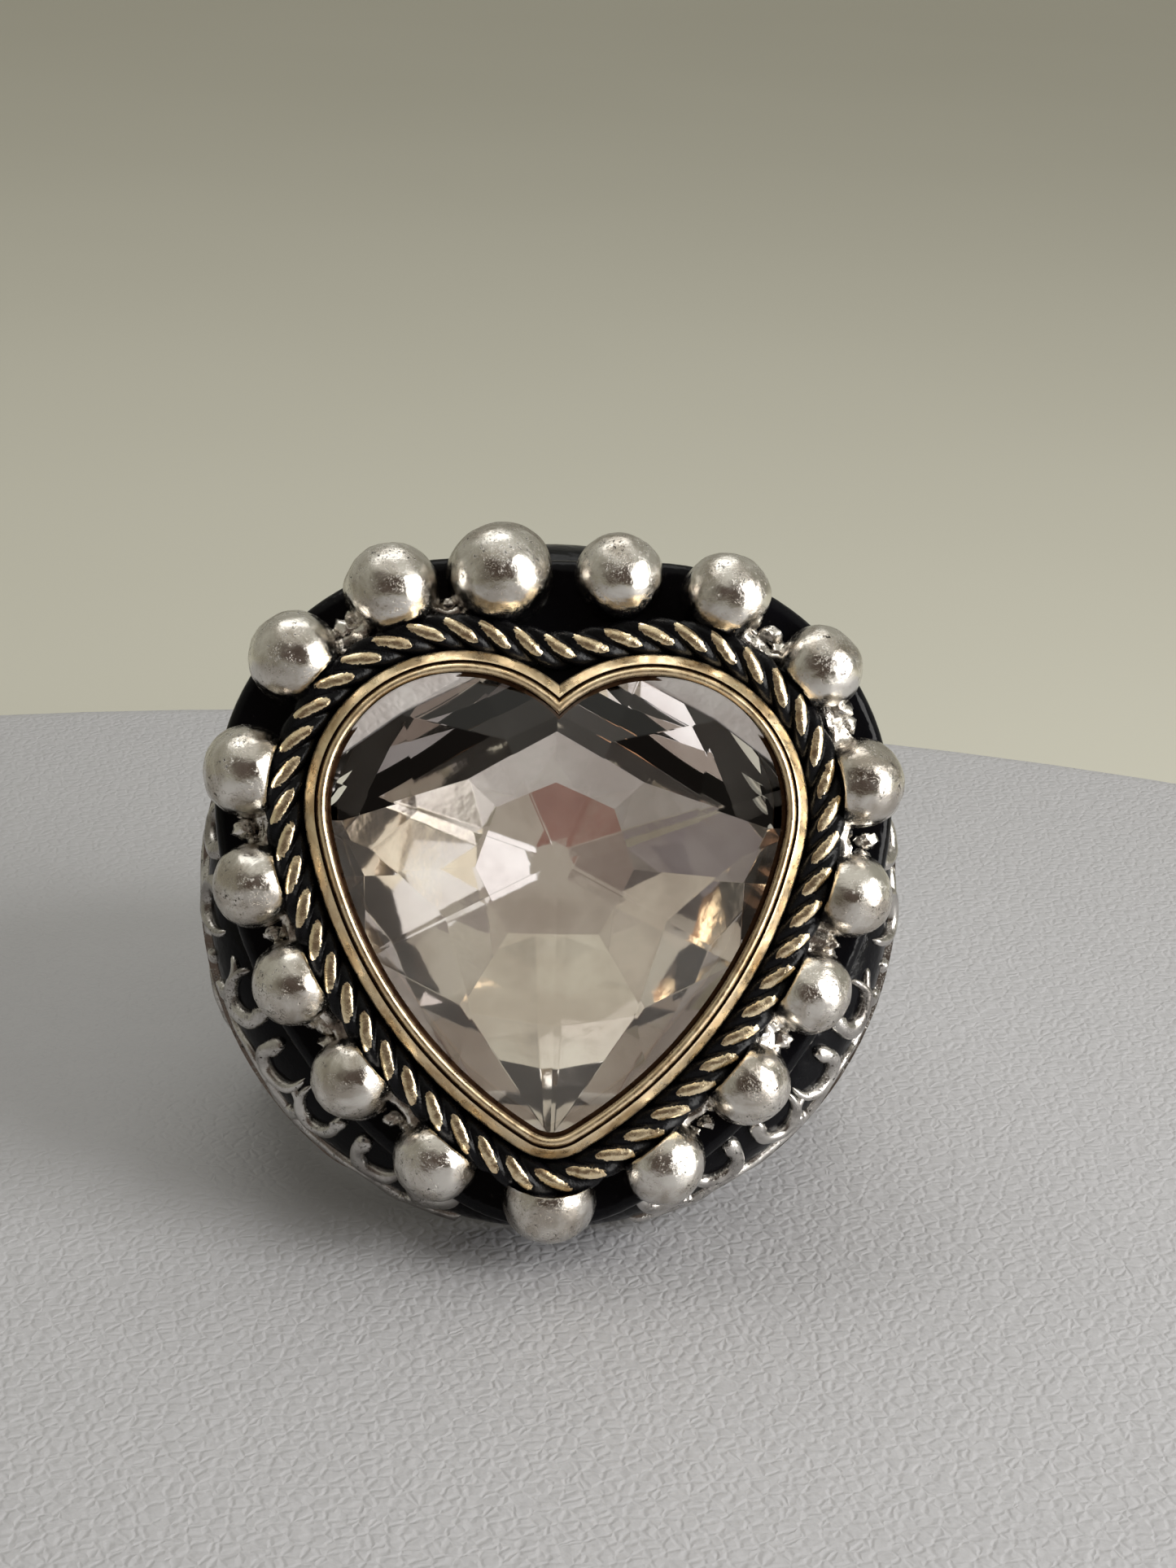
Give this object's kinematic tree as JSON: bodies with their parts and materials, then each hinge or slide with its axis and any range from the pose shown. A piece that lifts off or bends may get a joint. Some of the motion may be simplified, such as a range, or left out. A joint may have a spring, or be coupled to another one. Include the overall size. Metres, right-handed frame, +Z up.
{
  "type": "cocktail ring",
  "caption": "Two-tone cocktail ring: faceted heart crystal in a grooved gold bezel, twisted rope border, ball surround, and a domed scrollwork head on a tapering closed band.",
  "frame": {"origin": "on the table under the middle of the ring's box, with the ring lying as it rests: leaned back on the lower edge of its head and the back of its band", "axes": "+Z up from the table, +Y from the stone's side to the band's back, +X across the heart from its left lobe to its right, seen from the front. The finger hole leans 23.6 degrees from +Z towards +Y"},
  "size_m": [0.0264, 0.0304, 0.0253],
  "materials": {
    "antique_silver": "satin",
    "bright_silver": "satin",
    "antique_gold": "satin",
    "black_enamel": "gloss",
    "crystal": "polished",
    "foil": "polished",
    "cement": "matte"
  },
  "bodies": {
    "root": {"bead_01": "bright_silver", "bead_02": "bright_silver", "bead_03": "bright_silver", "bead_04": "bright_silver", "bead_05": "bright_silver", "bead_06": "bright_silver", "bead_07": "bright_silver", "bead_08": "bright_silver", "bead_09": "bright_silver", "bead_10": "bright_silver", "bead_11": "bright_silver", "bead_12": "bright_silver", "bead_13": "bright_silver", "bead_14": "bright_silver", "bead_15": "bright_silver", "bead_16": "bright_silver", "bead_17": "bright_silver", "bead_plate": "black_enamel", "bearing_strip": "antique_gold", "bezel_rim": "antique_gold", "cement_pad": "cement", "foil_backing": "foil", "head_dome": "black_enamel", "heart_crystal": "crystal", "rope_bed": "black_enamel", "rope_strands": "antique_gold", "scroll_left_shoulder": "antique_silver", "scroll_lower_left": "antique_silver", "scroll_lower_right": "antique_silver", "scroll_right_shoulder": "antique_silver", "scroll_upper_left": "antique_silver", "scroll_upper_right": "antique_silver", "shank": "antique_silver", "stone_cup": "antique_gold"}
  },
  "joints": []
}
